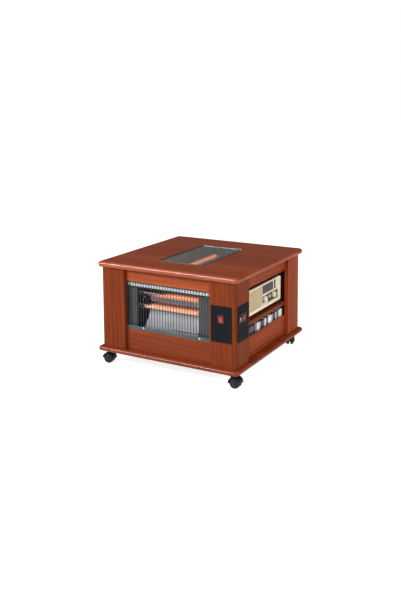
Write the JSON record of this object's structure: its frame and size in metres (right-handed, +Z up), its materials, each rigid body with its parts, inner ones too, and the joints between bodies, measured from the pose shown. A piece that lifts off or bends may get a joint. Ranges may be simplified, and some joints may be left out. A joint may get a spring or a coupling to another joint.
{
  "type": "coffee table space heater",
  "caption": "Square wood-grain coffee table on swivel casters with a tube heater in the front, a glass window over another tube, rocker switches, and a side niche with radio and drawer.",
  "frame": {"origin": "on the floor, under the middle of the cabinet", "axes": "+Z up; the heater opening faces -Y and the open niche faces +X"},
  "size_m": [0.615, 0.615, 0.4115],
  "materials": {
    "wood_top": "satin wood-grain laminate",
    "wood_base": "satin wood-grain laminate",
    "wood_posts": "satin wood-grain laminate",
    "wood_boards": "satin wood-grain laminate",
    "wood_inner": "satin wood-grain laminate, inside faces",
    "back_board": "plain laminate board",
    "housing_steel": "dark grey heat-resistant paint",
    "guard_wire": "dark plated wire",
    "bright_strip": "polished",
    "reflector_sheet": "bright rolled sheet",
    "bracket_black": "matt black paint",
    "quartz_tube": "quartz tube, glowing",
    "ceramic_parts": "unglazed",
    "window_rim": "brushed",
    "window_glass": "tempered, smoked",
    "control_black": "fine texture",
    "rocker_red": "gloss",
    "tip_switch_plastic": "plain",
    "gland_plastic": "plain",
    "caster_black": "gloss nylon",
    "radio_cream": "gloss",
    "speaker_cloth": "open weave",
    "dial_dark": "clear over dark print",
    "case_plastic": "clear cases with mixed inlays"
  },
  "bodies": {
    "cabinet": {"back_panel": "back_board", "base_panel": "wood_base", "cord_gland": "gland_plastic", "corner_post_back_left": "wood_posts", "corner_post_back_right": "wood_posts", "corner_post_front_left": "wood_posts", "corner_post_front_right": "wood_posts", "deflector_strip": "bright_strip", "front_control_plate": "control_black", "front_lower_panel": "wood_boards", "front_switch_body": "control_black", "front_upper_rail": "wood_boards", "heater_housing": "housing_steel", "left_side_panel": "wood_boards", "lower_tube": "quartz_tube", "niche_front_wall": "wood_inner", "niche_partition": "wood_inner", "niche_rear_wall": "wood_inner", "niche_shelf": "wood_boards", "reflector": "reflector_sheet", "side_control_plate": "control_black", "side_switch_body": "control_black", "side_upper_rail": "wood_boards", "terminal_block": "ceramic_parts", "thermal_cutout": "ceramic_parts", "tip_switch_body": "tip_switch_plastic", "top_glass": "window_glass", "top_panel": "wood_top", "top_reflector_tray": "housing_steel", "top_tube": "quartz_tube", "top_tube_bracket": "ceramic_parts", "top_window_frame": "window_rim", "tube_bracket_left": "bracket_black", "tube_bracket_right": "bracket_black", "upper_tube": "quartz_tube", "wire_grille": "guard_wire"},
    "front_rocker": {"front_rocker": "rocker_red"},
    "side_rocker_near": {"side_rocker_near": "rocker_red"},
    "side_rocker_far": {"side_rocker_far": "rocker_red"},
    "tip_plunger": {"tip_switch_plunger": "tip_switch_plastic"},
    "media_drawer": {"drawer_front": "wood_boards", "drawer_tray": "housing_steel", "media_case_row": "case_plastic"},
    "radio": {"radio_case": "radio_cream", "radio_speaker_grille": "speaker_cloth", "radio_dial_window": "dial_dark"},
    "radio_volume_knob": {"radio_volume_knob": "radio_cream"},
    "radio_tuning_knob": {"radio_tuning_knob": "radio_cream"},
    "caster_front_left": {"caster_front_left_hood": "caster_black"},
    "caster_front_left_wheel_a": {"caster_front_left_wheel_a": "caster_black"},
    "caster_front_left_wheel_b": {"caster_front_left_wheel_b": "caster_black"},
    "caster_front_right": {"caster_front_right_hood": "caster_black"},
    "caster_front_right_wheel_a": {"caster_front_right_wheel_a": "caster_black"},
    "caster_front_right_wheel_b": {"caster_front_right_wheel_b": "caster_black"},
    "caster_back_right": {"caster_back_right_hood": "caster_black"},
    "caster_back_right_wheel_a": {"caster_back_right_wheel_a": "caster_black"},
    "caster_back_right_wheel_b": {"caster_back_right_wheel_b": "caster_black"},
    "caster_back_left": {"caster_back_left_hood": "caster_black"},
    "caster_back_left_wheel_a": {"caster_back_left_wheel_a": "caster_black"},
    "caster_back_left_wheel_b": {"caster_back_left_wheel_b": "caster_black"}
  },
  "joints": [
    {"name": "front_rocker_tilt", "type": "hinge", "parent": "cabinet", "child": "front_rocker", "pos_m": [0.235, -0.292, 0.255], "axis": [1, 0, 0], "range_deg": [-24, 0]},
    {"name": "side_rocker_near_tilt", "type": "hinge", "parent": "cabinet", "child": "side_rocker_near", "pos_m": [0.292, -0.2585, 0.255], "axis": [0, 1, 0], "range_deg": [-24, 0]},
    {"name": "side_rocker_far_tilt", "type": "hinge", "parent": "cabinet", "child": "side_rocker_far", "pos_m": [0.292, -0.2265, 0.255], "axis": [0, 1, 0], "range_deg": [-24, 0]},
    {"name": "tip_plunger_slide", "type": "slide", "parent": "cabinet", "child": "tip_plunger", "axis": [0, 0, 1], "range_m": [-0.006, 0], "stiffness_N_per_m": 60, "springref_m": -0.006},
    {"name": "drawer_slide", "type": "slide", "parent": "cabinet", "child": "media_drawer", "axis": [1, 0, 0], "range_m": [0, 0.1]},
    {"name": "radio_lift_out", "type": "slide", "parent": "cabinet", "child": "radio", "axis": [1, 0, 0], "range_m": [0, 0.13]},
    {"name": "radio_volume_turn", "type": "hinge", "parent": "radio", "child": "radio_volume_knob", "pos_m": [0.2593, 0.017, 0.258], "axis": [1, 0, 0], "range_deg": [-150, 150]},
    {"name": "radio_tuning_turn", "type": "hinge", "parent": "radio", "child": "radio_tuning_knob", "pos_m": [0.2593, 0.098, 0.258], "axis": [1, 0, 0], "range_deg": [-170, 170]},
    {"name": "caster_front_left_swivel", "type": "hinge", "parent": "cabinet", "child": "caster_front_left", "pos_m": [-0.265, -0.265, 0.055], "axis": [0, 0, 1], "continuous": true},
    {"name": "caster_front_left_wheel_a_roll", "type": "hinge", "parent": "caster_front_left", "child": "caster_front_left_wheel_a", "pos_m": [-0.27879, -0.26743, 0.02], "axis": [-0.1736, 0.9848, 0], "continuous": true},
    {"name": "caster_front_left_wheel_b_roll", "type": "hinge", "parent": "caster_front_left", "child": "caster_front_left_wheel_b", "pos_m": [-0.27879, -0.26743, 0.02], "axis": [-0.1736, 0.9848, 0], "continuous": true},
    {"name": "caster_front_right_swivel", "type": "hinge", "parent": "cabinet", "child": "caster_front_right", "pos_m": [0.265, -0.265, 0.055], "axis": [0, 0, 1], "continuous": true},
    {"name": "caster_front_right_wheel_a_roll", "type": "hinge", "parent": "caster_front_right", "child": "caster_front_right_wheel_a", "pos_m": [0.279, -0.265, 0.02], "axis": [0, -1, 0], "continuous": true},
    {"name": "caster_front_right_wheel_b_roll", "type": "hinge", "parent": "caster_front_right", "child": "caster_front_right_wheel_b", "pos_m": [0.279, -0.265, 0.02], "axis": [0, -1, 0], "continuous": true},
    {"name": "caster_back_right_swivel", "type": "hinge", "parent": "cabinet", "child": "caster_back_right", "pos_m": [0.265, 0.265, 0.055], "axis": [0, 0, 1], "continuous": true},
    {"name": "caster_back_right_wheel_a_roll", "type": "hinge", "parent": "caster_back_right", "child": "caster_back_right_wheel_a", "pos_m": [0.25821, 0.27725, 0.02], "axis": [0.8746, 0.4848, 0], "continuous": true},
    {"name": "caster_back_right_wheel_b_roll", "type": "hinge", "parent": "caster_back_right", "child": "caster_back_right_wheel_b", "pos_m": [0.25821, 0.27725, 0.02], "axis": [0.8746, 0.4848, 0], "continuous": true},
    {"name": "caster_back_left_swivel", "type": "hinge", "parent": "cabinet", "child": "caster_back_left", "pos_m": [-0.265, 0.265, 0.055], "axis": [0, 0, 1], "continuous": true},
    {"name": "caster_back_left_wheel_a_roll", "type": "hinge", "parent": "caster_back_left", "child": "caster_back_left_wheel_a", "pos_m": [-0.25427, 0.256, 0.02], "axis": [-0.6428, -0.766, 0], "continuous": true},
    {"name": "caster_back_left_wheel_b_roll", "type": "hinge", "parent": "caster_back_left", "child": "caster_back_left_wheel_b", "pos_m": [-0.25427, 0.256, 0.02], "axis": [-0.6428, -0.766, 0], "continuous": true}
  ]
}
